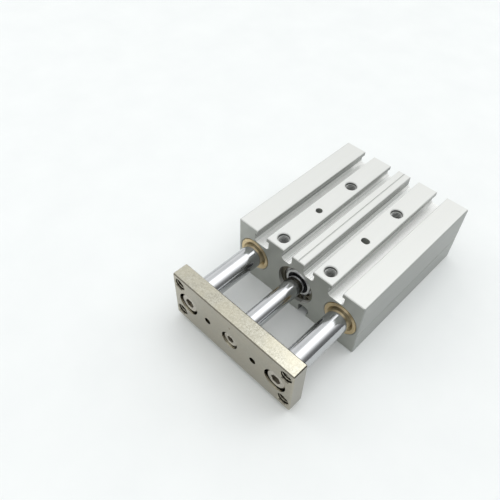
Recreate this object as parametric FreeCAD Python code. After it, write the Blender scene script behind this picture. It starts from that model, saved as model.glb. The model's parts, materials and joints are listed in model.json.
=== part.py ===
import FreeCAD, Part
import math
import os

# Guided pneumatic cylinder: an aluminium body with one air cylinder between two
# plain-bearing guides, whose three rods carry a tooling plate.
# X runs across the body, Y from the tooling plate towards the body's rear, and Z up.
# The origin is on the mounting face, at the centre of the rectangle of mounting holes.
# Millimetres. "left" is -X and "right" is +X, as seen from the plate end.

# ---------------------------------------------------------------- travel
stroke = 40.0
extension = 24.0              # how far the carriage is drawn out from its rear stop
home_gap = 6.0                # body to plate when the carriage is fully in
stop_clearance = 0.05         # piston to bumper at each end of the stroke

# ---------------------------------------------------------------- bores and rods
bore_radius = 8.0
piston_rod_radius = 4.0
guide_rod_radius = 5.0
bush_wall = 2.5

# ---------------------------------------------------------------- body
body_length_beyond_stroke = 33.0
body_edge_radius = 0.7
body_end_chamfer = 0.3
bore_to_slot_wall = 1.5       # bore to the floor of a sensor slot
bore_to_hole_wall = 0.85      # cover seat to mounting hole
hole_to_guide_wall = 1.35     # mounting hole to guide bore
guide_to_side_wall = 1.5
guide_to_slot_wall = 1.0      # guide bore to the floor of a T-slot

t_slot_from_guide = 3.7       # slot centre to guide rod axis, towards the middle
t_slot_mouth = 5.1
t_slot_lip = 2.1
t_slot_width = 7.5
t_slot_corner = 0.9

centre_rib_width = 6.2        # between the two sensor slots
sensor_slot_mouth = 4.4
sensor_slot_lip = 1.9
sensor_slot_undercut = 0.8    # on the side away from the centre rib
sensor_slot_depth = 5.5
sensor_slot_corner = 1.0
slot_edge_break = 0.25        # on the mouth edges of every slot
line_width = 0.6              # fine V-grooves along the rib and both sides
line_depth = 0.35
side_line_height = 12.0

# ---------------------------------------------------------------- mounting features
mount_pitch_y = 44.0
mount_first_row = 5.0         # front row of mounting holes to the body's front face
m5_radius = 2.5
m4_radius = 2.0
thread_mouth_chamfer = 0.4
mount_thread_depth = 10.0
mount_through_radius = 2.15
mount_counterbore_radius = 4.0
mount_counterbore_depth = 4.5
dowel_radius = 1.5
dowel_depth = 6.0
dowel_slot_length = 3.8
rear_thread_edge = 4.0        # thread axis to the body's sides, top and base
rear_thread_depth = 5.0

# ---------------------------------------------------------------- air ports
front_port_inset = 11.0       # port axis to the body's front face
rear_port_inset = 8.0         # port axis to the body's rear face
port_below_axis = 10.0
port_thread_depth = 5.0
air_drill_radius = 1.25
air_drill_end = 11.0          # half-distance at which the cross drilling stops
bore_feed_radius = 1.0
lower_port_offset = 19.0      # plugged ports on the mounting face, from the centre
port_plug_length = 3.0
port_plug_inset = 0.4
port_plug_hex = 2.5

# ---------------------------------------------------------------- covers and rings
cover_step = 1.0              # cover seat wider than the bore, all round
ring_groove_inset = 1.6       # body face to the retaining ring groove
ring_thickness = 1.0
ring_groove_play = 0.1
ring_groove_depth = 0.5
ring_band_width = 2.3
ring_lug_radius = 1.5
ring_lug_hole_radius = 0.7
ring_lug_inset = 1.5          # lug centre to the floor of the groove
ring_lug_angle = 19.0         # each lug from the middle of the ring's gap, degrees
ring_gap_angle = 8.0          # half of the ring's gap, degrees
front_ring_turn = -62.0       # where the gaps face, degrees from +X towards +Z
rear_ring_turn = -90.0
rod_cover_length = 6.3
rod_nose_radius = 6.3         # collar on the front of the rod cover, inside the ring
rod_nose_length = 1.1
rod_nose_edge = 0.3
head_cover_length = 3.8
spigot_step = 1.0             # air gap between a cover's spigot and the bore
rod_spigot_length = 2.4
head_spigot_length = 1.0
bumper_thickness = 1.0
bumper_hole_radius = 4.5
gasket_section = 1.9
gasket_depth = 1.3
gasket_edge = 0.4
cover_clearance = 0.03

# ---------------------------------------------------------------- piston and rod details
running_clearance = 0.04
piston_clearance = 0.08
seal_clearance = 0.03
seat_clearance = 0.02
magnet_width = 3.0
magnet_depth = 2.2
piston_seal_width = 3.0
piston_seal_depth = 2.4
piston_front_land = 2.4
piston_middle_land = 1.4
piston_spigot_radius = 2.5
rivet_head_radius = 3.6
rivet_head_depth = 1.2
rod_seal_section = 1.2
rod_seal_width = 3.4
rod_seal_recess = 0.3
rod_seal_lip = 0.6
guide_rod_rear_inset = 1.0    # guide rod end to the body's rear face, carriage fully in
rod_end_chamfer = 0.8
rod_front_chamfer = 0.3

# ---------------------------------------------------------------- guide bushes
bush_length = 12.0
bush_bore_depth = 33.0
bush_mouth_chamfer = 1.0
bush_inner_chamfer = 0.5
bush_seat_chamfer = 0.5       # in the body, round the front bush
guide_relief = 0.5            # round the guide rod, in the body behind the rear bush

# ---------------------------------------------------------------- tooling plate and screws
plate_side_inset = 1.0        # plate narrower than the body at each side
plate_top_inset = 2.5         # and lower than the body at the top and the base
plate_thickness = 7.0
plate_edge = 0.4
plate_thread_side_edge = 3.5
plate_thread_top_edge = 4.25
plate_dowel_from_guide = 11.0
plate_mark_height = 8.0       # punched centre mark above the piston rod screw's axis
plate_mark_size = 0.45
screw_play = 0.03             # screw flank to thread, and set screw to port
m5_clearance_radius = 2.75
m5_head_radius = 4.25
m5_head_height = 5.0
m5_hex = 4.0
m5_hex_depth = 2.5
m5_counterbore_radius = 5.05
m5_length = 12.0
m4_clearance_radius = 2.25
m4_head_radius = 3.5
m4_head_height = 4.0
m4_hex = 3.0
m4_hex_depth = 2.0
m4_counterbore_radius = 4.0
m4_length = 12.0
head_inset = 0.6              # screw head below the plate's front face
head_edge = 0.4
tapped_depth_beyond_screw = 1.5

# ---------------------------------------------------------------- worked out
cover_radius = bore_radius + cover_step
ring_groove_radius = cover_radius + ring_groove_depth
spigot_radius = bore_radius - spigot_step
rod_seal_radius = piston_rod_radius + rod_seal_section
bush_radius = guide_rod_radius + bush_wall
guide_relief_radius = guide_rod_radius + guide_relief

axis_height = bore_radius + bore_to_slot_wall + sensor_slot_depth
body_height = 2 * axis_height
mount_x = cover_radius + bore_to_hole_wall + mount_through_radius
guide_x = mount_x + mount_through_radius + hole_to_guide_wall + bush_radius
body_width = 2 * (guide_x + bush_radius + guide_to_side_wall)
t_slot_x = guide_x - t_slot_from_guide
t_slot_floor = axis_height + bush_radius + guide_to_slot_wall
plate_width = body_width - 2 * plate_side_inset
plate_height = body_height - 2 * plate_top_inset

body_length = body_length_beyond_stroke + stroke
body_front = -(mount_first_row + mount_pitch_y / 2)
body_rear = body_front + body_length
plate_back = body_front - home_gap - extension
plate_front = plate_back - plate_thickness
port_height = axis_height - port_below_axis
front_port_y = body_front + front_port_inset
rear_port_y = body_rear - rear_port_inset
ring_groove_width = ring_thickness + ring_groove_play

rod_cover_front = body_front + ring_groove_inset + ring_groove_width
rod_nose_front = rod_cover_front - rod_nose_length
rod_cover_seat = rod_cover_front + rod_cover_length
rod_stop = rod_cover_seat + rod_spigot_length + bumper_thickness
head_cover_rear = body_rear - ring_groove_inset - ring_groove_width
head_cover_seat = head_cover_rear - head_cover_length
head_stop = head_cover_seat - head_spigot_length - bumper_thickness

piston_length = head_stop - rod_stop - stroke - 2 * stop_clearance
piston_rear = head_stop - stop_clearance - extension
piston_front = piston_rear - piston_length
through = 1.0                 # how far cutting tools run past a face


def point(x, y, z):
    return FreeCAD.Vector(x, y, z)


# ---------------------------------------------------------------- shape helpers
def box(x_low, x_high, y_low, y_high, z_low, z_high):
    return Part.makeBox(x_high - x_low, y_high - y_low, z_high - z_low, point(x_low, y_low, z_low))


def along_x(radius, x_low, x_high, y, z):
    return Part.makeCylinder(radius, x_high - x_low, point(x_low, y, z), point(1, 0, 0))


def along_y(radius, y_low, y_high, x, z):
    return Part.makeCylinder(radius, y_high - y_low, point(x, y_low, z), point(0, 1, 0))


def along_z(radius, z_low, z_high, x, y):
    return Part.makeCylinder(radius, z_high - z_low, point(x, y, z_low), point(0, 0, 1))


def cone_along_y(radius, grow, y, x, z):
    """Countersink of 45 degrees that is `grow` wider than `radius` at y, opening towards -Y."""
    return Part.makeCone(radius + grow, radius, grow, point(x, y, z), point(0, 1, 0))


def turned(profile, x, z):
    """Solid of revolution round the line along Y through (x, z), from (y, radius) points."""
    corners = [point(x + radius, y, z) for y, radius in profile]
    face = Part.Face(Part.makePolygon(corners + corners[:1]))
    return face.revolve(point(x, 0, z), point(0, 1, 0), 360)


def section_prism(corners, y_low, y_high):
    """Prism along Y with the outline given by (x, z) corners."""
    outline = [point(x, y_low, z) for x, z in corners]
    return Part.Face(Part.makePolygon(outline + outline[:1])).extrude(point(0, y_high - y_low, 0))


def hexagon(across_flats):
    reach = across_flats / math.sqrt(3)
    turns = [math.radians(60 * corner) for corner in range(6)]
    return [(reach * math.cos(turn), reach * math.sin(turn)) for turn in turns]


def fused(pieces):
    return pieces[0].multiFuse(pieces[1:]).removeSplitter()


def edges_along(shape, axis):
    """Straight edges of `shape` that run along `axis`."""
    straight = [edge for edge in shape.Edges if isinstance(edge.Curve, Part.Line)]
    return [edge for edge in straight if abs(abs(edge.Curve.Direction.dot(axis)) - 1) < 1e-6]


# ---------------------------------------------------------------- cylinder body
def blank_body():
    half = body_width / 2
    block = box(-half, half, body_front, body_rear, 0, body_height)
    block = block.makeFillet(body_edge_radius, edges_along(block, point(0, 1, 0)))
    ends = [
        face for face in block.Faces
        if abs(face.CenterOfMass.y - body_front) < 1e-6 or abs(face.CenterOfMass.y - body_rear) < 1e-6
    ]
    rims = [edge for face in ends for edge in face.Edges]
    return block.makeChamfer(body_end_chamfer, rims)


def t_slot(side):
    """One T-slot in the top face, as a cutting prism."""
    neck = t_slot_mouth / 2
    wide = t_slot_width / 2
    lip = body_height - t_slot_lip
    broken = neck + slot_edge_break
    right_half = [
        (broken, body_height + through), (broken, body_height), (neck, body_height - slot_edge_break),
        (neck, lip), (wide, lip),
        (wide, t_slot_floor + t_slot_corner), (wide - t_slot_corner, t_slot_floor),
    ]
    corners = right_half + [(-x, z) for x, z in reversed(right_half)]
    corners = [(side * t_slot_x + x, z) for x, z in corners]
    return section_prism(corners, body_front - through, body_rear + through)


def sensor_slot(side, face_height, inwards):
    """One switch slot beside the centre rib, cut from the face at face_height."""
    rib = centre_rib_width / 2
    mouth = rib + sensor_slot_mouth
    wide = mouth + sensor_slot_undercut
    lip = sensor_slot_lip
    depth = sensor_slot_depth
    corner = sensor_slot_corner
    edge = slot_edge_break
    outline = [
        (rib - edge, -through), (mouth + edge, -through), (mouth + edge, 0), (mouth, edge),
        (mouth, lip), (wide, lip), (wide, depth - corner), (wide - corner, depth),
        (rib + corner, depth), (rib, depth - corner), (rib, edge), (rib - edge, 0),
    ]
    corners = [(side * x, face_height + inwards * down) for x, down in outline]
    return section_prism(corners, body_front - through, body_rear + through)


def fine_line(x, z, out_x, out_z):
    """V-groove along the body at (x, z), in a face that looks towards (out_x, out_z)."""
    half = line_width / 2
    outline = [(-half, through), (-half, 0), (0, -line_depth), (half, 0), (half, through)]
    corners = [
        (x + across * out_z + up * out_x, z + across * out_x + up * out_z) for across, up in outline
    ]
    return section_prism(corners, body_front - through, body_rear + through)


def mounting_hole(x, y):
    """M5 thread from the top, clearance hole, and counterbore from the mounting face."""
    thread_end = body_height - mount_thread_depth
    return fused([
        along_z(m5_radius, thread_end, body_height + through, x, y),
        along_z(mount_through_radius, 0, thread_end + through, x, y),
        along_z(mount_counterbore_radius, -through, mount_counterbore_depth, x, y),
        top_countersink(m5_radius, x, y),
    ])


def top_countersink(radius, x, y):
    depth = thread_mouth_chamfer
    return Part.makeCone(
        radius, radius + depth, depth, point(x, y, body_height - depth), point(0, 0, 1))


def dowel_cuts():
    """Round dowel hole on the left and a short slot on the right, between the mounting rows."""
    floor = body_height - dowel_depth
    top = body_height + through
    reach = dowel_slot_length / 2 - dowel_radius
    slot = fused([
        along_z(dowel_radius, floor, top, mount_x - reach, 0),
        along_z(dowel_radius, floor, top, mount_x + reach, 0),
        box(mount_x - reach, mount_x + reach, -dowel_radius, dowel_radius, floor, top),
    ])
    return [along_z(dowel_radius, floor, top, -mount_x, 0), slot]


def rear_threads():
    cuts = []
    x = body_width / 2 - rear_thread_edge
    for side in (-1, 1):
        for z in (rear_thread_edge, body_height - rear_thread_edge):
            cuts.append(along_y(m5_radius, body_rear - rear_thread_depth, body_rear + through, side * x, z))
    return cuts


def cylinder_bore():
    """Bore with a wider seat for a cover at each end and a groove for each retaining ring."""
    front_groove = body_front + ring_groove_inset
    rear_groove = body_rear - ring_groove_inset
    return fused([
        along_y(bore_radius, body_front, body_rear, 0, axis_height),
        along_y(cover_radius, body_front - through, rod_cover_seat, 0, axis_height),
        along_y(cover_radius, head_cover_seat, body_rear + through, 0, axis_height),
        along_y(ring_groove_radius, front_groove, front_groove + ring_groove_width, 0, axis_height),
        along_y(ring_groove_radius, rear_groove - ring_groove_width, rear_groove, 0, axis_height),
    ])


def guide_bore(x):
    """Seat for two bushes, then a wider bore that the guide rod never touches."""
    return fused([
        along_y(bush_radius, body_front - through, body_front + bush_bore_depth, x, axis_height),
        along_y(guide_relief_radius, body_front, body_rear + through, x, axis_height),
        cone_along_y(bush_radius, bush_seat_chamfer, body_front, x, axis_height),
    ])


def air_passage(y):
    """Side port, cross drilling, port on the mounting face, and slanting feed to the bore."""
    wall = -body_width / 2
    start = point(-air_drill_end, y, port_height)
    to_bore = point(0, y, axis_height) - start
    feed_length = to_bore.Length - bore_radius * 0.8
    return fused([
        along_x(m5_radius, wall - through, wall + port_thread_depth, y, port_height),
        along_x(air_drill_radius, wall, -air_drill_end + air_drill_radius, y, port_height),
        along_z(m5_radius, -through, port_height, -lower_port_offset, y),
        Part.makeCylinder(bore_feed_radius, feed_length, start, to_bore),
    ])


def cylinder_body():
    cuts = [t_slot(-1), t_slot(1), fine_line(0, body_height, 0, 1), cylinder_bore()]
    for side in (-1, 1):
        cuts.append(fine_line(side * body_width / 2, side_line_height, side, 0))
        cuts.append(sensor_slot(side, body_height, -1))
        cuts.append(sensor_slot(side, 0, 1))
        cuts.append(guide_bore(side * guide_x))
        for row in (-1, 1):
            cuts.append(mounting_hole(side * mount_x, row * mount_pitch_y / 2))
    cuts += dowel_cuts() + rear_threads()
    cuts += [air_passage(front_port_y), air_passage(rear_port_y)]
    return blank_body().cut(cuts)


# ---------------------------------------------------------------- guides
def guide_bush(x, front):
    inner = guide_rod_radius + running_clearance
    rear = front + bush_length
    mouth = bush_mouth_chamfer
    exit_chamfer = bush_inner_chamfer
    profile = [
        (front, inner + mouth), (front + mouth, inner), (rear - exit_chamfer, inner),
        (rear, inner + exit_chamfer), (rear, bush_radius), (front, bush_radius),
    ]
    return turned(profile, x, axis_height)


def guide_rod(x):
    """Ground rod, tapped at the plate end."""
    length = home_gap + body_length - guide_rod_rear_inset
    rear = plate_back + length
    tapped = plate_back + m5_length + m5_head_height + head_inset - plate_thickness
    tapped += tapped_depth_beyond_screw
    profile = [
        (plate_back, m5_radius), (plate_back, guide_rod_radius - rod_front_chamfer),
        (plate_back + rod_front_chamfer, guide_rod_radius),
        (rear - rod_end_chamfer, guide_rod_radius), (rear, guide_rod_radius - rod_end_chamfer),
        (rear, 0), (tapped, 0), (tapped, m5_radius),
    ]
    return turned(profile, x, axis_height)


# ---------------------------------------------------------------- bore pieces
def rod_cover():
    """Gland that guides the piston rod: a collar round the seal recess, air spigot behind."""
    outer = cover_radius - cover_clearance
    inner = piston_rod_radius + running_clearance
    groove = gasket_groove(rod_cover_front, rod_cover_seat)
    recess_end = rod_nose_front + rod_seal_recess + rod_seal_width
    spigot_end = rod_cover_seat + rod_spigot_length
    profile = [
        (rod_nose_front, rod_seal_radius), (rod_nose_front, rod_nose_radius - rod_nose_edge),
        (rod_nose_front + rod_nose_edge, rod_nose_radius), (rod_cover_front, rod_nose_radius),
        (rod_cover_front, outer),
    ]
    profile += groove_steps(groove, outer)
    profile += [
        (rod_cover_seat, outer), (rod_cover_seat, spigot_radius), (spigot_end, spigot_radius),
        (spigot_end, inner), (recess_end, inner), (recess_end, rod_seal_radius),
    ]
    return turned(profile, 0, axis_height)


def head_cover():
    """Disc that closes the rear of the bore, with a spigot for the bumper."""
    outer = cover_radius - cover_clearance
    groove = gasket_groove(head_cover_seat, head_cover_rear)
    spigot_end = head_cover_seat - head_spigot_length
    profile = [(spigot_end, 0), (spigot_end, spigot_radius), (head_cover_seat, spigot_radius)]
    profile += [(head_cover_seat, outer)] + groove_steps(groove, outer)
    profile += [(head_cover_rear, outer), (head_cover_rear, 0)]
    return turned(profile, 0, axis_height)


def gasket_groove(front, rear):
    """Start and end of the gasket groove in the middle of a cover's seat."""
    middle = (front + rear) / 2
    return (middle - gasket_section / 2, middle + gasket_section / 2)


def groove_steps(groove, outer):
    start, end = groove
    floor = cover_radius - gasket_depth
    return [(start, outer), (start, floor), (end, floor), (end, outer)]


def cover_gasket(front, rear):
    """Ring that fills a cover's groove out to the bore wall."""
    start, end = gasket_groove(front, rear)
    start += seat_clearance
    end -= seat_clearance
    inner = cover_radius - gasket_depth + seat_clearance
    outer = cover_radius - seat_clearance
    edge = gasket_edge
    profile = [
        (start, inner + edge), (start, outer - edge), (start + edge, outer), (end - edge, outer),
        (end, outer - edge), (end, inner + edge), (end - edge, inner), (start + edge, inner),
    ]
    return turned(profile, 0, axis_height)


def rod_seal():
    """Lip seal in the gland, with a groove between its two lips towards the piston."""
    front = rod_nose_front + rod_seal_recess
    rear = front + rod_seal_width - seat_clearance
    inner = piston_rod_radius + seal_clearance
    outer = rod_seal_radius - seat_clearance
    middle = (inner + outer) / 2
    profile = [
        (front, inner + rod_seal_lip / 2), (front, outer), (rear, outer),
        (rear - rod_seal_lip, middle), (rear, inner), (front + rod_seal_lip, inner),
    ]
    return turned(profile, 0, axis_height)


def bumper(front, hole_radius):
    rear = front + bumper_thickness
    profile = [(front, hole_radius), (front, spigot_radius), (rear, spigot_radius), (rear, hole_radius)]
    return turned(profile, 0, axis_height)


def retaining_ring(front, gap_turn):
    """Internal C ring: a band open at one side, with a drilled lug at each end of the gap."""
    rear = front + ring_thickness
    outer = ring_groove_radius - seat_clearance
    inner = outer - ring_band_width
    band = along_y(outer, front, rear, 0, 0).cut(along_y(inner, front - through, rear + through, 0, 0))
    lug_reach = ring_groove_radius - ring_lug_inset
    lugs = []
    holes = []
    for side in (-1, 1):
        turn = math.radians(side * ring_lug_angle)
        x = lug_reach * math.cos(turn)
        z = lug_reach * math.sin(turn)
        lugs.append(along_y(ring_lug_radius, front, rear, x, z))
        holes.append(along_y(ring_lug_hole_radius, front - through, rear + through, x, z))
    gap = math.radians(ring_gap_angle)
    reach = 2 * outer
    wedge = section_prism(
        [(0, 0), (reach, -reach * math.tan(gap)), (reach, reach * math.tan(gap))],
        front - through, rear + through)
    ring = fused([band] + lugs).cut(holes + [wedge])
    ring.rotate(point(0, 0, 0), point(0, -1, 0), gap_turn)
    ring.translate(point(0, 0, axis_height))
    return ring


# ---------------------------------------------------------------- piston
def piston():
    """Aluminium piston with grooves for the magnet and the seal, riveted onto the rod."""
    outer = bore_radius - piston_clearance
    magnet = magnet_groove()
    seal = seal_groove()
    rivet = piston_rear - rivet_head_depth
    profile = [
        (piston_front, piston_spigot_radius), (piston_front, outer),
        (magnet[0], outer), (magnet[0], outer - magnet_depth),
        (magnet[1], outer - magnet_depth), (magnet[1], outer),
        (seal[0], outer), (seal[0], outer - piston_seal_depth),
        (seal[1], outer - piston_seal_depth), (seal[1], outer),
        (piston_rear, outer), (piston_rear, rivet_head_radius),
        (rivet, rivet_head_radius), (rivet, piston_spigot_radius),
    ]
    return turned(profile, 0, axis_height)


def magnet_groove():
    start = piston_front + piston_front_land
    return (start, start + magnet_width)


def seal_groove():
    start = magnet_groove()[1] + piston_middle_land
    return (start, start + piston_seal_width)


def piston_magnet():
    start, end = magnet_groove()
    inner = bore_radius - piston_clearance - magnet_depth + seat_clearance
    outer = bore_radius - 2 * piston_clearance
    start += seat_clearance
    end -= seat_clearance
    return turned([(start, inner), (start, outer), (end, outer), (end, inner)], 0, axis_height)


def piston_seal():
    """Double lip seal: two rims that reach the bore wall with a valley between them."""
    start, end = seal_groove()
    inner = bore_radius - piston_clearance - piston_seal_depth + seat_clearance
    outer = bore_radius - seal_clearance
    start += seat_clearance
    end -= seat_clearance
    middle = (start + end) / 2
    valley = outer - piston_seal_depth / 3
    profile = [(start, inner), (start, outer), (middle, valley), (end, outer), (end, inner)]
    return turned(profile, 0, axis_height)


def piston_rod():
    """Rod tapped at the plate end and riveted through the piston."""
    tapped = plate_back + m4_length + m4_head_height + head_inset - plate_thickness
    tapped += tapped_depth_beyond_screw
    rivet = piston_rear - rivet_head_depth
    profile = [
        (plate_back, m4_radius), (plate_back, piston_rod_radius - rod_front_chamfer),
        (plate_back + rod_front_chamfer, piston_rod_radius), (piston_front, piston_rod_radius),
        (piston_front, piston_spigot_radius - seat_clearance),
        (rivet, piston_spigot_radius - seat_clearance),
        (rivet, rivet_head_radius - seat_clearance), (piston_rear, rivet_head_radius - seat_clearance),
        (piston_rear, 0), (tapped, 0), (tapped, m4_radius),
    ]
    return turned(profile, 0, axis_height)


# ---------------------------------------------------------------- plate and fasteners
def end_plate():
    half = plate_width / 2
    low = axis_height - plate_height / 2
    plate = box(-half, half, plate_front, plate_back, low, low + plate_height)
    plate = plate.makeChamfer(plate_edge, plate.Edges)
    cuts = [
        plate_hole(m5_clearance_radius, -guide_x),
        plate_hole(m5_clearance_radius, guide_x),
        plate_hole(m4_clearance_radius, 0),
        counterbore(m5_counterbore_radius, m5_head_height, -guide_x),
        counterbore(m5_counterbore_radius, m5_head_height, guide_x),
        counterbore(m4_counterbore_radius, m4_head_height, 0),
        Part.makeCone(
            plate_mark_size, 0, plate_mark_size,
            point(0, plate_front, axis_height + plate_mark_height), point(0, 1, 0)),
    ]
    for side in (-1, 1):
        cuts.append(plate_hole(dowel_radius, side * (guide_x - plate_dowel_from_guide)))
        for row in (-1, 1):
            x = side * (plate_width / 2 - plate_thread_side_edge)
            z = axis_height + row * (plate_height / 2 - plate_thread_top_edge)
            cuts.append(along_y(m5_radius, plate_front - through, plate_back + through, x, z))
            cuts.append(cone_along_y(m5_radius, thread_mouth_chamfer, plate_front, x, z))
    return plate.cut(cuts)


def plate_hole(radius, x):
    return along_y(radius, plate_front - through, plate_back + through, x, axis_height)


def counterbore(radius, head_height, x):
    return along_y(radius, plate_front - through, plate_front + head_inset + head_height, x, axis_height)


def cap_screw(radius, length, head_radius, head_height, across_flats, hex_depth, x):
    """Socket cap screw that enters the plate from its front face."""
    top = plate_front + head_inset
    seat = top + head_height
    shank = radius - screw_play
    profile = [
        (top, 0), (top, head_radius - head_edge), (top + head_edge, head_radius),
        (seat, head_radius), (seat, shank), (seat + length - screw_tip(radius), shank),
        (seat + length, shank - screw_tip(radius)), (seat + length, 0),
    ]
    screw = turned(profile, x, axis_height)
    corners = [(x + dx, axis_height + dz) for dx, dz in hexagon(across_flats)]
    return screw.cut(section_prism(corners, top - through, top + hex_depth))


def screw_tip(radius):
    return radius / 5


def guide_rod_screw(x):
    return cap_screw(m5_radius, m5_length, m5_head_radius, m5_head_height, m5_hex, m5_hex_depth, x)


def piston_rod_screw():
    return cap_screw(m4_radius, m4_length, m4_head_radius, m4_head_height, m4_hex, m4_hex_depth, 0)


def port_plug(y):
    """Socket set screw that closes a port on the mounting face."""
    low = port_plug_inset
    plug = along_z(m5_radius - screw_play, low, low + port_plug_length, -lower_port_offset, y)
    outline = [point(dx - lower_port_offset, y + dy, low - through) for dx, dy in hexagon(port_plug_hex)]
    socket = Part.Face(Part.makePolygon(outline + outline[:1]))
    return plug.cut(socket.extrude(point(0, 0, through + port_plug_length / 2)))


# ---------------------------------------------------------------- assembly
def all_pieces():
    rear_bush = body_front + bush_bore_depth - bush_length
    head_ring = body_rear - ring_groove_inset - ring_thickness - ring_groove_play / 2
    rod_ring = body_front + ring_groove_inset + ring_groove_play / 2
    return {
        "cylinder_body": cylinder_body(),
        "guide_bush_left_front": guide_bush(-guide_x, body_front),
        "guide_bush_left_rear": guide_bush(-guide_x, rear_bush),
        "guide_bush_right_front": guide_bush(guide_x, body_front),
        "guide_bush_right_rear": guide_bush(guide_x, rear_bush),
        "rod_cover": rod_cover(),
        "rod_cover_gasket": cover_gasket(rod_cover_front, rod_cover_seat),
        "rod_seal": rod_seal(),
        "rod_cover_retaining_ring": retaining_ring(rod_ring, front_ring_turn),
        "rod_side_bumper": bumper(rod_stop - bumper_thickness, bumper_hole_radius),
        "head_side_bumper": bumper(head_stop, bumper_hole_radius),
        "head_cover": head_cover(),
        "head_cover_gasket": cover_gasket(head_cover_seat, head_cover_rear),
        "head_cover_retaining_ring": retaining_ring(head_ring, rear_ring_turn),
        "port_plug_front": port_plug(front_port_y),
        "port_plug_rear": port_plug(rear_port_y),
        "piston": piston(),
        "piston_seal": piston_seal(),
        "piston_magnet": piston_magnet(),
        "piston_rod": piston_rod(),
        "guide_rod_left": guide_rod(-guide_x),
        "guide_rod_right": guide_rod(guide_x),
        "end_plate": end_plate(),
        "guide_rod_screw_left": guide_rod_screw(-guide_x),
        "guide_rod_screw_right": guide_rod_screw(guide_x),
        "piston_rod_screw": piston_rod_screw(),
    }


os.makedirs("parts", exist_ok=True)
for node, shape in all_pieces().items():
    shape.exportStep(f"parts/{node}.step")
    print(node, "solids", len(shape.Solids), "valid", shape.isValid(), "volume", round(shape.Volume, 1))
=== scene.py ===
"""Looks of the guided pneumatic cylinder: finishes, screw threads, knurling and studio.

Everything is in metres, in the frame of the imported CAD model: X across the body,
Y from the end plate to the rear, Z up, with the base face at Z = 0.
"""

import json
import math

import bpy
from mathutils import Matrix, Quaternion, Vector


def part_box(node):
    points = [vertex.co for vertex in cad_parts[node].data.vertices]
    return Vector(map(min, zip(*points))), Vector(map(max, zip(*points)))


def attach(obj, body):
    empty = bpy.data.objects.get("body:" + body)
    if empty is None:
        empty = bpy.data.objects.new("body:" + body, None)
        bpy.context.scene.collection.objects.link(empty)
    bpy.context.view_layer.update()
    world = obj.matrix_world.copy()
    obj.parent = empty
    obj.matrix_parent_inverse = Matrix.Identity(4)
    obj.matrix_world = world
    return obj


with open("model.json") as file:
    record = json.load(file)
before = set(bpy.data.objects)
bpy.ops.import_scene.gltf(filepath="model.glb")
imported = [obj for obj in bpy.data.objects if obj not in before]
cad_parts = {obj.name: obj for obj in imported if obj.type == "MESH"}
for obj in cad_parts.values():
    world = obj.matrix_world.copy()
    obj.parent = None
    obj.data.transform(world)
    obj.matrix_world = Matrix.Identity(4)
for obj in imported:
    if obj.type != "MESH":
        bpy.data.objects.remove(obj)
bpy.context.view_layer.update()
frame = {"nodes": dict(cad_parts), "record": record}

mounts = {mount["name"]: mount for mount in frame["record"]["mounts"]}

mm = 0.001
axis_height = 15.0 * mm          # bore and guide rods, above the base face
thread_pitch = 0.8 * mm          # M5 coarse
thread_height = 0.4 * mm         # wall of the hole to the crest of a turn
thread_margin = 0.9 * mm         # of a hole's length, left without turns
knurl_ridges = 40
knurl_height = 0.14 * mm
knurl_margin = 1.2 * mm          # of a screw head's length, left plain


# ---------------------------------------------------------------- node trees

def add(tree, kind, inputs=None, **settings):
    """New node in a tree. Its inputs are linked to sockets or set to values."""
    made = tree.nodes.new(kind)
    for name, value in settings.items():
        setattr(made, name, value)
    for name, value in (inputs or {}).items():
        connect(tree, value, made.inputs[name])
    return made


def connect(tree, value, socket):
    """Links a socket to another one, or sets it to a plain value."""
    if isinstance(value, bpy.types.NodeSocket):
        tree.links.new(value, socket)
    else:
        socket.default_value = value


def calculate(tree, operation, *values):
    """Result of one sum on sockets or plain numbers."""
    made = tree.nodes.new("ShaderNodeMath")
    made.operation = operation
    for socket, value in zip(made.inputs, values):
        connect(tree, value, socket)
    return made.outputs[0]


def times(tree, first, second):
    return calculate(tree, "MULTIPLY", first, second)


def absolute(tree, value):
    return calculate(tree, "ABSOLUTE", value)


def below(tree, value, limit):
    """1 where the value is less than the limit, else 0."""
    return calculate(tree, "LESS_THAN", value, limit)


def opposite(tree, share):
    return calculate(tree, "SUBTRACT", 1.0, share)


def spread(tree, value, low, high, to_low, to_high):
    """Carries the range from low to high over to another range, and stops at its ends."""
    return add(tree, "ShaderNodeMapRange", {
        "Value": value, "From Min": low, "From Max": high, "To Min": to_low, "To Max": to_high,
    }).outputs["Result"]


def parts_of(tree, vector):
    """The X, Y and Z of a vector."""
    return add(tree, "ShaderNodeSeparateXYZ", {"Vector": vector}).outputs


def blend_colours(tree, share, first, second):
    """Colour that goes from the first to the second as share goes from 0 to 1."""
    made = tree.nodes.new("ShaderNodeMix")
    made.data_type = "RGBA"
    sockets = {socket.identifier: socket for socket in made.inputs}
    connect(tree, share, sockets["Factor_Float"])
    for name, colour in (("A_Color", first), ("B_Color", second)):
        plain = isinstance(colour, tuple)
        connect(tree, (*colour, 1.0) if plain else colour, sockets[name])
    return next(s for s in made.outputs if s.identifier == "Result_Color")


def mottled(tree, noise, low, high, dark, light):
    """Colour that goes from dark to light as a noise goes from low to high."""
    return blend_colours(tree, spread(tree, noise, low, high, 0.0, 1.0), dark, light)


def stretched_noise(tree, place, scale, detail=3.0, roughness=0.55):
    """Noise whose grain is 1 / scale along each axis."""
    stretched = add(tree, "ShaderNodeMapping", {"Vector": place, "Scale": scale})
    return add(tree, "ShaderNodeTexNoise", {
        "Vector": stretched.outputs[0], "Scale": 1.0, "Detail": detail, "Roughness": roughness,
    }).outputs["Fac"]


def even_noise(tree, place, scale, detail=3.0, roughness=0.55):
    """Noise with the same grain along every axis."""
    return stretched_noise(tree, place, (scale, scale, scale), detail, roughness)


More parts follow.
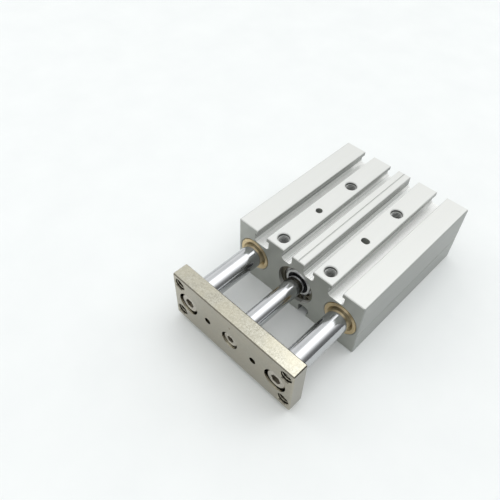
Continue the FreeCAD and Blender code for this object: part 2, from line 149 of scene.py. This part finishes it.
def tool_rings(tree, place, shift, scale, distortion):
    """Fine rings that a cutting tool leaves round a Y axis. The shift brings it to the origin."""
    centred = add(tree, "ShaderNodeMapping", {"Vector": place, "Location": shift})
    return add(tree, "ShaderNodeTexWave", {
        "Vector": centred.outputs[0], "Scale": scale, "Distortion": distortion, "Detail": 1.0,
    }, wave_type="RINGS", rings_direction="Y").outputs["Fac"]


def new_finish(name, metallic, specular=None):
    """Material with its node tree, and the socket for the place on a piece."""
    material = bpy.data.materials.new(name)
    material.use_nodes = True
    tree = material.node_tree
    shader = tree.nodes["Principled BSDF"]
    shader.inputs["Metallic"].default_value = metallic
    if specular is not None:
        shader.inputs["Specular IOR Level"].default_value = specular
    return material, tree, tree.nodes.new("ShaderNodeTexCoord").outputs["Object"]


def normal_of(tree):
    """The X, Y and Z of the normal on a piece."""
    return parts_of(tree, tree.nodes.new("ShaderNodeTexCoord").outputs["Normal"])


def put_on(tree, colour, roughness, height, strength, depth):
    """Joins a colour, a roughness and a relief of some depth to the tree's shader."""
    shader = tree.nodes["Principled BSDF"]
    tree.links.new(colour, shader.inputs["Base Color"])
    tree.links.new(roughness, shader.inputs["Roughness"])
    relief = add(tree, "ShaderNodeBump", {
        "Height": height, "Strength": strength, "Distance": depth})
    tree.links.new(relief.outputs[0], shader.inputs["Normal"])


# -------------------------------------------------------- regions of a piece

def hole_radius(mount):
    """Radius of one of a mount's holes, in metres."""
    dims = mount["dims"]
    return (dims.get("hole_r_mm") or dims["r_mm"]) * mm


def painted_hole_shade_share(tree, place, mount):
    """Painted shade: 1 inside the tapped holes of a mount, but for the crests of their threads,
    and 0 elsewhere.

    The place is folded about the mount's middle, so one hole stands for all of them.
    """
    crest_line = 0.22 * mm       # inside the wall, where the bright crests begin
    wall_play = 0.05 * mm        # outside the wall, so that the wall itself counts
    turned_half = 4.8 * mm       # the turns reach this far from the middle, along the hole
    drilled_half = 7.5 * mm      # and the drilling this far
    middle, axis, dims = mount["pos_m"], mount["axis"], mount["dims"]
    along = max(range(3), key=lambda i: abs(axis[i]))
    at = parts_of(tree, place)
    from_middle = [
        absolute(tree, calculate(tree, "SUBTRACT", at[i], middle[i])) for i in range(3)]
    spacings = (dims.get("spacing_x_mm", 0.0), dims.get("spacing_y_mm", 0.0))
    squared = 0.0
    for i, spacing in zip([i for i in range(3) if i != along], spacings):
        off = calculate(tree, "SUBTRACT", from_middle[i], spacing * mm / 2)
        squared = calculate(tree, "ADD", squared, times(tree, off, off))
    wall = hole_radius(mount)
    crest = times(
        tree, below(tree, squared, (wall - crest_line) ** 2),
        below(tree, from_middle[along], turned_half))
    hole = times(
        tree, below(tree, squared, (wall + wall_play) ** 2),
        below(tree, from_middle[along], drilled_half))
    return times(tree, hole, opposite(tree, crest))


def paint_shade_in_holes(tree, place, colour, names, painted_hole_shade):
    """The colour, with painted shade in the threaded holes of the named mounts."""
    for name in names:
        colour = blend_colours(tree, painted_hole_shade_share(tree, place, mounts[name]), colour, painted_hole_shade)
    return colour


def body_regions(tree, place):
    """Shares from 0 to 1 that tell the body's ends, its faces along Z, slots and bores apart, and
    where light and shade are painted.

    A face square to an axis has a normal of 1 along it, and a chamfer has 0.7.
    """
    low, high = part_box("cylinder_body")
    skin = 0.4 * mm              # below the top and the base face, where the slots begin
    side_skin = 0.5 * mm         # deeper than the fine line along each side
    line_rim = 0.7 * mm          # from the side face, where its chamfers and the line get no painted light
    line_rim_fade = 0.1 * mm
    bored_reach = 9.4 * mm       # of the bores and cover seats, above and below their axes
    base_slot_reach = 7.0 * mm   # of the base slots' painted shade, above the base face
    facing, at = normal_of(tree), parts_of(tree, place)
    endwise, aside = absolute(tree, facing["Y"]), absolute(tree, at["X"])
    inside = below(tree, aside, high.x - side_skin)
    inside = times(tree, inside, below(tree, at["Z"], high.z - skin))
    inside = times(tree, inside, calculate(tree, "GREATER_THAN", at["Z"], low.z + skin))
    inside = times(tree, inside, spread(tree, endwise, 0.30, 0.50, 1.0, 0.0))
    rim = spread(
        tree, aside, high.x - line_rim, high.x - line_rim + line_rim_fade, 0.0, 0.25)
    flatness = calculate(tree, "SUBTRACT", absolute(tree, facing["Z"]), rim)
    off_axis = absolute(tree, calculate(tree, "SUBTRACT", at["Z"], axis_height))
    # The shares of the faces along Z and of the slot floors carry painted light; that of the base
    # slots carries painted shade.
    return {
        "end": spread(tree, endwise, 0.80, 0.95, 0.0, 1.0),
        "painted_lit_flat": spread(tree, flatness, 0.50, 0.75, 0.0, 1.0),
        "inside": inside,
        "painted_lit_slot_floor": times(tree, inside, spread(tree, facing["Z"], 0.36, 0.80, 0.0, 1.0)),
        "bored": times(tree, inside, below(tree, off_axis, bored_reach)),
        "painted_shade_base_slot": times(tree, inside, below(tree, at["Z"], base_slot_reach)),
    }


# ------------------------------------------------------------------ finishes

def anodised_aluminium():
    """Satin clear anodising: drawn lines along the body, plain bores, greyer milled ends, with
    painted light on the faces along Z and painted shade in the slots and holes.
    """
    material, tree, place = new_finish("anodised_aluminium", metallic=0.35)
    region = body_regions(tree, place)
    inside, end = region["inside"], region["end"]
    lines = stretched_noise(tree, place, (2600, 14, 2600))
    middle_of_noise = 0.5        # bores are plain, so they take this instead of lines
    drawn = calculate(
        tree, "ADD", times(tree, region["bored"], middle_of_noise),
        times(tree, opposite(tree, region["bored"]), lines))
    bands = stretched_noise(tree, place, (420, 9, 420), detail=2.0)
    cloud = even_noise(tree, place, 60)
    grit = even_noise(tree, place, 9000, detail=2.0)
    milled = tool_rings(
        tree, place, shift=(0.050, 0.0, 0.020), scale=900.0, distortion=0.6)

    side = mottled(tree, drawn, 0.35, 0.65, (0.345, 0.358, 0.344), (0.410, 0.423, 0.406))
    side = blend_colours(
        tree, spread(tree, bands, 0.40, 0.70, 0.0, 0.22), side, (0.335, 0.347, 0.332))
    # Painted shade: the slot walls darker than the outer sides, over the drawn lines.
    painted_shade_slot_wall = mottled(tree, drawn, 0.42, 0.60, (0.250, 0.260, 0.246), (0.440, 0.450, 0.433))
    wall = blend_colours(tree, inside, side, painted_shade_slot_wall)
    # Painted light: faces along Z lighter than the sides, as lit from above, and the slot floors
    # lighter still, as lit through the mouths.
    painted_lit_flat = blend_colours(tree, inside, (0.820, 0.826, 0.800), (0.970, 0.975, 0.955))
    flatness = calculate(tree, "MAXIMUM", times(tree, region["painted_lit_flat"], 0.80), region["painted_lit_slot_floor"])
    along = blend_colours(tree, flatness, wall, painted_lit_flat)
    # Painted shade deep in the slots of the base face.
    along = blend_colours(
        tree, times(tree, region["painted_shade_base_slot"], 0.7), along, (0.120, 0.125, 0.118))
    cut = mottled(tree, cloud, 0.35, 0.65, (0.375, 0.389, 0.356), (0.440, 0.454, 0.418))
    # Painted shade in the tapped holes.
    colour = paint_shade_in_holes(
        tree, place, blend_colours(tree, end, along, cut),
        ("top_threads", "rear_threads", "port_front", "port_rear"), (0.160, 0.166, 0.155))

    rough = calculate(
        tree, "ADD", spread(tree, drawn, 0.3, 0.7, 0.38, 0.48),
        spread(tree, grit, 0.3, 0.7, -0.03, 0.03))
    rough = calculate(tree, "SUBTRACT", rough, times(tree, inside, 0.14))
    height = calculate(
        tree, "ADD", times(tree, drawn, opposite(tree, end)),
        times(tree, milled, times(tree, end, 0.35)))
    height = calculate(tree, "ADD", height, times(tree, grit, 0.35))
    put_on(tree, colour, rough, height, strength=0.11, depth=0.03 * mm)
    return material


def nickel_plated_steel():
    """Warm nickel over ground steel: mottled, with painted light on the faces along Z and painted
    shade on the ends.
    """
    material, tree, place = new_finish("nickel_plated_steel", metallic=1.0)
    facing = normal_of(tree)
    # Painted light on the faces along Z and painted shade on the ends along X, as the light falls.
    painted_light_share = spread(tree, absolute(tree, facing["Z"]), 0.80, 0.95, 0.0, 1.0)
    painted_shade_share = spread(tree, absolute(tree, facing["X"]), 0.80, 0.95, 0.0, 0.6)
    mottle = even_noise(tree, place, 1400, detail=4.0, roughness=0.75)
    patches = even_noise(tree, place, 140, detail=4.0)
    ground = stretched_noise(tree, place, (70, 1500, 1500), detail=2.0)

    face = mottled(tree, mottle, 0.38, 0.66, (0.355, 0.335, 0.276), (0.425, 0.403, 0.336))
    face = blend_colours(
        tree, spread(tree, patches, 0.40, 0.66, 0.0, 0.5), face, (0.425, 0.380, 0.298))
    # Faces along Z: the same mottled nickel, lighter as painted light.
    edge = mottled(tree, mottle, 0.36, 0.64, (0.440, 0.420, 0.345), (0.610, 0.592, 0.508))
    edge = blend_colours(
        tree, spread(tree, patches, 0.42, 0.62, 0.0, 0.5), edge, (0.590, 0.555, 0.440))
    colour = blend_colours(tree, painted_light_share, face, edge)
    colour = blend_colours(tree, painted_shade_share, colour, (0.210, 0.198, 0.163))
    # Painted shade in the threaded holes.
    colour = paint_shade_in_holes(tree, place, colour, ("plate_threads",), (0.150, 0.140, 0.108))

    rough = spread(tree, mottle, 0.3, 0.7, 0.10, 0.20)
    height = calculate(tree, "ADD", times(tree, mottle, 0.7), times(tree, ground, 0.3))
    put_on(tree, colour, rough, height, strength=0.36, depth=0.04 * mm)
    return material


def hard_chrome():
    """Hard chrome on ground rods: bright, with faint polishing lines round the rod."""
    material, tree, place = new_finish("hard_chrome", metallic=1.0)
    lines = stretched_noise(tree, place, (60, 5200, 60))
    haze = even_noise(tree, place, 90)
    colour = mottled(tree, haze, 0.3, 0.7, (0.510, 0.518, 0.530), (0.570, 0.578, 0.588))
    rough = calculate(
        tree, "ADD", spread(tree, lines, 0.3, 0.7, 0.09, 0.15),
        spread(tree, haze, 0.4, 0.7, 0.0, 0.03))
    put_on(tree, colour, rough, lines, strength=0.05, depth=0.01 * mm)
    return material


def sintered_bronze():
    """Oil-filled sintered bronze: fine pores, warm tan, darker in the pores."""
    material, tree, place = new_finish("bush_bronze", metallic=1.0)
    pores = add(tree, "ShaderNodeTexVoronoi", {
        "Vector": place, "Scale": 3800.0}, feature="F1").outputs["Distance"]
    tint = even_noise(tree, place, 260, detail=4.0)
    colour = mottled(tree, tint, 0.35, 0.65, (0.600, 0.465, 0.255), (0.800, 0.660, 0.420))
    colour = blend_colours(
        tree, spread(tree, pores, 0.05, 0.30, 0.7, 0.0), colour, (0.300, 0.215, 0.110))
    rough = spread(tree, tint, 0.3, 0.7, 0.34, 0.50)
    height = spread(tree, pores, 0.05, 0.35, 0.0, 1.0)
    put_on(tree, colour, rough, height, strength=0.35, depth=0.03 * mm)
    return material


def turned_metal(name, dark, light, smooth, dull):
    """Metal turned on a lathe about a Y axis through the bore: fine rings on its faces."""
    material, tree, place = new_finish(name, metallic=1.0)
    feed = 0.16 * mm
    rings = tool_rings(
        tree, place, shift=(0.0, 0.0, -axis_height), scale=math.tau / (20 * feed), distortion=0.8)
    cloud = even_noise(tree, place, 420, detail=4.0)
    colour = mottled(tree, cloud, 0.35, 0.65, dark, light)
    rough = spread(tree, cloud, 0.3, 0.7, smooth, dull)
    put_on(tree, colour, rough, rings, strength=0.12, depth=0.02 * mm)
    return material


def plated_steel(name, dark, light, smooth, dull):
    """Small plated or blacked steel parts, with a fine uneven coat."""
    material, tree, place = new_finish(name, metallic=1.0)
    coat = even_noise(tree, place, 1900, detail=4.0, roughness=0.65)
    patches = even_noise(tree, place, 330, detail=2.0)
    colour = mottled(tree, coat, 0.35, 0.65, dark, light)
    rough = spread(tree, patches, 0.3, 0.7, smooth, dull)
    put_on(tree, colour, rough, coat, strength=0.20, depth=0.02 * mm)
    return material


def moulded_rubber(name, dark, light):
    """Nitrile or polyurethane: matt, with a faint bloom."""
    material, tree, place = new_finish(name, metallic=0.0, specular=0.2)
    bloom = even_noise(tree, place, 700, detail=4.0)
    colour = mottled(tree, bloom, 0.35, 0.7, dark, light)
    rough = spread(tree, bloom, 0.3, 0.7, 0.55, 0.72)
    put_on(tree, colour, rough, bloom, strength=0.15, depth=0.02 * mm)
    return material


def bonded_magnet():
    """Ferrite powder in a binder: dark, matt and speckled."""
    material, tree, place = new_finish("bonded_magnet", metallic=0.0)
    speck = even_noise(tree, place, 3500, detail=2.0)
    colour = mottled(tree, speck, 0.40, 0.70, (0.040, 0.040, 0.042), (0.110, 0.110, 0.115))
    rough = spread(tree, speck, 0.3, 0.7, 0.5, 0.7)
    put_on(tree, colour, rough, speck, strength=0.2, depth=0.02 * mm)
    return material


def plain_name(material):
    """The material's name without the number that a second one of that name gets."""
    return material.name.split(".")[0]


finishes = {plain_name(made): made for made in (
    anodised_aluminium(),
    nickel_plated_steel(),
    hard_chrome(),
    sintered_bronze(),
    turned_metal("turned_aluminium", (0.62, 0.62, 0.61), (0.74, 0.74, 0.73), 0.25, 0.38),
    plated_steel("spring_steel", (0.130, 0.122, 0.092), (0.210, 0.196, 0.150), 0.28, 0.42),
    plated_steel("screw_steel", (0.440, 0.410, 0.355), (0.580, 0.545, 0.480), 0.28, 0.40),
    moulded_rubber("black_rubber", (0.012, 0.012, 0.013), (0.030, 0.030, 0.031)),
    moulded_rubber("bumper_rubber", (0.180, 0.090, 0.030), (0.260, 0.140, 0.050)),
    bonded_magnet(),
)}


def dress_cad_nodes():
    """Each CAD node keeps its mesh and gets the finish of its slot in the record."""
    for node in frame["nodes"].values():
        for holder in node.material_slots:
            holder.material = finishes[plain_name(holder.material)]


# ------------------------------------------------- screw threads and knurling

def new_shape_tree(name, sizes):
    """Geometry Nodes tree with one named input for each size, and a material."""
    tree = bpy.data.node_groups.new(name, "GeometryNodeTree")
    tree.interface.new_socket("Geometry", in_out="INPUT", socket_type="NodeSocketGeometry")
    for size, kind in sizes.items():
        tree.interface.new_socket(size, in_out="INPUT", socket_type=kind)
    tree.interface.new_socket("Material", in_out="INPUT", socket_type="NodeSocketMaterial")
    tree.interface.new_socket("Geometry", in_out="OUTPUT", socket_type="NodeSocketGeometry")
    given = tree.nodes.new("NodeGroupInput")
    return tree, given.outputs


def close_shape_tree(tree, instances, given):
    """Makes the instances real and gives them the material."""
    real = add(tree, "GeometryNodeRealizeInstances", {"Geometry": instances})
    coated = add(tree, "GeometryNodeSetMaterial", {
        "Geometry": real.outputs[0], "Material": given["Material"]})
    out = tree.nodes.new("NodeGroupOutput")
    tree.links.new(coated.outputs[0], out.inputs[0])
    return tree


def vector(tree, **parts):
    return add(tree, "ShaderNodeCombineXYZ", parts).outputs[0]


def thread_tree():
    """Turns of an internal thread in every hole whose middle is a point of the input."""
    tree, given = new_shape_tree("internal_thread", {
        "Wall Radius": "NodeSocketFloat", "Crest Radius": "NodeSocketFloat",
        "Pitch": "NodeSocketFloat", "Length": "NodeSocketFloat",
        "Hole Axis": "NodeSocketVector",
    })
    steps_per_turn = 40
    flank_share, crest_share = 0.42, 0.08     # half widths of a turn, in pitches
    turned_length = calculate(tree, "SUBTRACT", given["Length"], given["Pitch"])
    helix = add(tree, "GeometryNodeCurveSpiral", {
        "Resolution": steps_per_turn,
        "Rotations": calculate(tree, "DIVIDE", turned_length, given["Pitch"]),
        "Start Radius": given["Wall Radius"], "End Radius": given["Wall Radius"],
        "Height": turned_length,
    })
    upright = add(tree, "GeometryNodeSetCurveNormal", {"Curve": helix.outputs[0]}, mode="Z_UP")
    flank = times(tree, given["Pitch"], flank_share)
    crest = times(tree, given["Pitch"], crest_share)
    reach = calculate(tree, "SUBTRACT", given["Wall Radius"], given["Crest Radius"])
    profile = add(tree, "GeometryNodeCurvePrimitiveQuadrilateral", {
        "Point 1": vector(tree, X=0.0, Y=times(tree, flank, -1.0)),
        "Point 2": vector(tree, X=reach, Y=times(tree, crest, -1.0)),
        "Point 3": vector(tree, X=reach, Y=crest),
        "Point 4": vector(tree, X=0.0, Y=flank),
    }, mode="POINTS")
    ridge = add(tree, "GeometryNodeCurveToMesh", {
        "Curve": upright.outputs[0], "Profile Curve": profile.outputs[0], "Fill Caps": True})
    centred = add(tree, "GeometryNodeTransform", {
        "Geometry": ridge.outputs[0],
        "Translation": vector(tree, Z=times(tree, turned_length, -0.5))})
    turn = add(tree, "FunctionNodeAlignRotationToVector", {"Vector": given["Hole Axis"]}, axis="Z")
    placed = add(tree, "GeometryNodeInstanceOnPoints", {
        "Points": given["Geometry"], "Instance": centred.outputs[0],
        "Rotation": turn.outputs[0]})
    return close_shape_tree(tree, placed.outputs["Instances"], given)


def knurl_tree():
    """Straight knurling round a cap screw's head, one head for each point of the input."""
    tree, given = new_shape_tree("straight_knurl", {
        "Head Radius": "NodeSocketFloat", "Ridge Height": "NodeSocketFloat",
        "Band": "NodeSocketFloat", "Ridges": "NodeSocketInt",
    })
    endwise = (math.pi / 2, 0.0, 0.0)     # turns Z towards the screw's axis
    ridge = add(tree, "GeometryNodeMeshCone", {
        "Vertices": 3, "Side Segments": 1, "Fill Segments": 1, "Depth": given["Band"],
        "Radius Top": given["Ridge Height"], "Radius Bottom": given["Ridge Height"],
    })
    laid = add(tree, "GeometryNodeTransform", {
        "Geometry": ridge.outputs[0], "Rotation": endwise,
        "Translation": vector(tree, Y=times(tree, given["Band"], 0.5))})
    ring = add(tree, "GeometryNodeMeshCircle", {
        "Vertices": given["Ridges"], "Radius": given["Head Radius"]})
    stood = add(tree, "GeometryNodeTransform", {
        "Geometry": ring.outputs[0], "Rotation": endwise})
    outward = add(tree, "FunctionNodeAlignRotationToVector", {
        "Vector": tree.nodes.new("GeometryNodeInputPosition").outputs[0],
    }, axis="X", pivot_axis="Y")
    head = add(tree, "GeometryNodeInstanceOnPoints", {
        "Points": stood.outputs[0], "Instance": laid.outputs[0],
        "Rotation": outward.outputs[0]})
    placed = add(tree, "GeometryNodeInstanceOnPoints", {
        "Points": given["Geometry"], "Instance": head.outputs["Instances"]})
    return close_shape_tree(tree, placed.outputs["Instances"], given)


def put_in_scene(name, data):
    """New object with a mesh, a lamp or a camera as its data."""
    made = bpy.data.objects.new(name, data)
    bpy.context.scene.collection.objects.link(made)
    return made


def grow(name, tree, points, body, slot, sizes):
    """Bakes a tree on some points into one plain mesh, which rides on a body."""
    seed = bpy.data.meshes.new(name + "_points")
    seed.from_pydata([tuple(point) for point in points], [], [])
    carrier = put_in_scene(name + "_points", seed)
    modifier = carrier.modifiers.new(name, "NODES")
    modifier.node_group = tree
    given = {"Material": finishes[slot], **sizes}
    for socket in tree.interface.items_tree:
        if socket.in_out == "INPUT" and socket.name in given:
            modifier[socket.identifier] = given[socket.name]
    bpy.context.view_layer.update()
    evaluated = carrier.evaluated_get(bpy.context.evaluated_depsgraph_get())
    mesh = bpy.data.meshes.new_from_object(evaluated)
    mesh.name = name
    bpy.data.objects.remove(carrier)
    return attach(put_in_scene(name, mesh), body)


def hole_middles(mount):
    """Middles of a mount's holes, spread in the plane across its axis."""
    middle, axis, dims = Vector(mount["pos_m"]), Vector(mount["axis"]), mount["dims"]
    if "spacing_x_mm" not in dims:
        return [middle]
    across = Vector((1, 0, 0))
    up = Vector((0, 1, 0)) if abs(axis.z) > 0.5 else Vector((0, 0, 1))
    half_x, half_y = dims["spacing_x_mm"] * mm / 2, dims["spacing_y_mm"] * mm / 2
    return [
        middle + across * side * half_x + up * row * half_y
        for side in (-1, 1) for row in (-1, 1)]


def cut_threads():
    """M5 coarse threads in every tapped hole that the body and the plate show."""
    tree = thread_tree()
    plate_low, plate_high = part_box("end_plate")
    for name, body, slot, length in (
        ("top_threads", "barrel", "anodised_aluminium", 10 * mm),
        ("rear_threads", "barrel", "anodised_aluminium", 5 * mm),
        ("port_front", "barrel", "anodised_aluminium", 5 * mm),
        ("port_rear", "barrel", "anodised_aluminium", 5 * mm),
        ("plate_threads", "carriage", "nickel_plated_steel", plate_high.y - plate_low.y),
    ):
        mount = mounts[name]
        wall = hole_radius(mount)
        grow(name + "_m5", tree, hole_middles(mount), body, slot, {
            "Wall Radius": wall, "Crest Radius": wall - thread_height, "Pitch": thread_pitch,
            "Length": length - thread_margin, "Hole Axis": tuple(mount["axis"]),
        })


def knurl_screw_heads():
    """Straight knurling on the cap screws: M5 in the guide rods, M4 in the piston rod."""
    tree = knurl_tree()
    for node, head_length in (
        ("guide_rod_screw_left", 5 * mm),
        ("guide_rod_screw_right", 5 * mm),
        ("piston_rod_screw", 4 * mm),
    ):
        low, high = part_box(node)
        middle = Vector(((low.x + high.x) / 2, low.y + head_length / 2, (low.z + high.z) / 2))
        grow(node + "_knurl", tree, [middle], "carriage", "screw_steel", {
            "Head Radius": (high.x - low.x) / 2, "Ridge Height": knurl_height,
            "Band": head_length - knurl_margin, "Ridges": knurl_ridges,
        })


# -------------------------------------------------------------------- studio

def lay_floor():
    """Pale card, a hair below the base face."""
    half, level = 1.6, -0.05 * mm
    mesh = bpy.data.meshes.new("floor")
    mesh.from_pydata(
        [(-half, -half, level), (half, -half, level), (half, half, level), (-half, half, level)],
        [], [(0, 1, 2, 3)])
    material, tree, place = new_finish("pale_card", metallic=0.0, specular=0.3)
    fibre = even_noise(tree, place, 40)
    colour = mottled(tree, fibre, 0.3, 0.7, (0.830, 0.850, 0.848), (0.855, 0.874, 0.870))
    rough = spread(tree, fibre, 0.3, 0.7, 0.55, 0.65)
    put_on(tree, colour, rough, fibre, strength=0.02, depth=0.1 * mm)
    mesh.materials.append(material)
    put_in_scene("floor", mesh)


def aim_at(thing, place, aim):
    """Sets a lamp or a camera at a place, looking at the aim, and returns its turn."""
    thing.location = place
    thing.rotation_mode = "QUATERNION"
    turn = (Vector(aim) - thing.location).to_track_quat("-Z", "Y")
    thing.rotation_quaternion = turn
    return turn


def hang_softbox(name, place, aim, side, power):
    """Square lamp with sides in metres and its power in watts."""
    lamp = bpy.data.lights.new(name, "AREA")
    lamp.shape = "SQUARE"
    lamp.size = side
    lamp.energy = power
    aim_at(put_in_scene(name, lamp), place, aim)


def room_brightness(tree, facing):
    """Brightness of the room in a direction: a long panel overhead, between darker walls."""
    round_y = calculate(tree, "ARCTAN2", facing["Z"], facing["X"])
    ramp = add(tree, "ShaderNodeValToRGB", {
        "Fac": spread(tree, round_y, 0.0, math.pi, 0.0, 1.0)})
    stops = ramp.color_ramp.elements
    right_horizon, left_horizon = 0.10, 0.34
    stops[0].color = (right_horizon, right_horizon, right_horizon, 1.0)
    stops[-1].color = (left_horizon, left_horizon, left_horizon, 1.0)
    for degrees, level in (     # up from the right, over the top and down to the left
        (12, 0.10), (22, 0.12), (34, 0.20), (46, 0.44), (58, 0.82), (66, 1.00), (107, 1.00),
        (112, 0.56), (122, 0.49), (132, 0.48), (144, 0.54), (157, 0.56), (170, 0.44),
    ):
        stops.new(degrees / 180).color = (level, level, level, 1.0)
    across = add(tree, "ShaderNodeRGBToBW", {"Color": ramp.outputs["Color"]}).outputs[0]

    just_over_one = 1.0001      # keeps the lean finite straight along Y
    upright = calculate(tree, "SQRT", calculate(
        tree, "SUBTRACT", just_over_one, times(tree, facing["Y"], facing["Y"])))
    lean = calculate(tree, "DIVIDE", facing["Y"], upright)
    front = spread(tree, lean, -0.90, 0.35, 0.45, 1.00)
    back = spread(tree, lean, 0.55, 1.10, 1.0, 0.6)
    panelled = times(tree, across, times(tree, front, back))

    end_wall = spread(tree, absolute(tree, lean), 1.40, 3.00, 0.0, 1.0)
    end_wall_level = 0.30
    return calculate(
        tree, "ADD", times(tree, panelled, opposite(tree, end_wall)),
        times(tree, end_wall, end_wall_level))


def light_room():
    """The room's own brightness, and two softboxes that lift the left and the rear."""
    world = bpy.data.worlds.new("studio")
    bpy.context.scene.world = world
    world.use_nodes = True
    tree = world.node_tree
    facing = parts_of(tree, tree.nodes.new("ShaderNodeTexCoord").outputs["Generated"])
    background = tree.nodes["Background"]
    background.inputs["Color"].default_value = (1.0, 1.01, 1.01, 1.0)
    level = 2.00
    tree.links.new(
        times(tree, room_brightness(tree, facing), level), background.inputs["Strength"])
    hang_softbox("left_softbox", (-0.70, -0.30, 0.85), (0.0, 0.0, 0.0), side=0.65, power=1.2)
    hang_softbox("rear_softbox", (0.35, 0.60, 0.35), (0.0, 0.03, 0.0), side=0.35, power=0.5)


def set_camera():
    """Three-quarter view from the front right, well above the body."""
    lens = bpy.data.cameras.new("camera")
    lens.sensor_width = 36.0
    lens.lens = 37.72
    lens.clip_start = 0.01
    camera = put_in_scene("camera", lens)
    tilt = Quaternion((0, 0, 1), math.radians(1.6))
    turn = aim_at(camera, (0.07525, -0.13362, 0.18472), (-0.02591, -0.02680, 0.0150))
    camera.rotation_quaternion = turn @ tilt
    bpy.context.scene.camera = camera


dress_cad_nodes()
cut_threads()
knurl_screw_heads()
lay_floor()
light_room()
set_camera()
bpy.context.scene.view_settings.view_transform = "Standard"
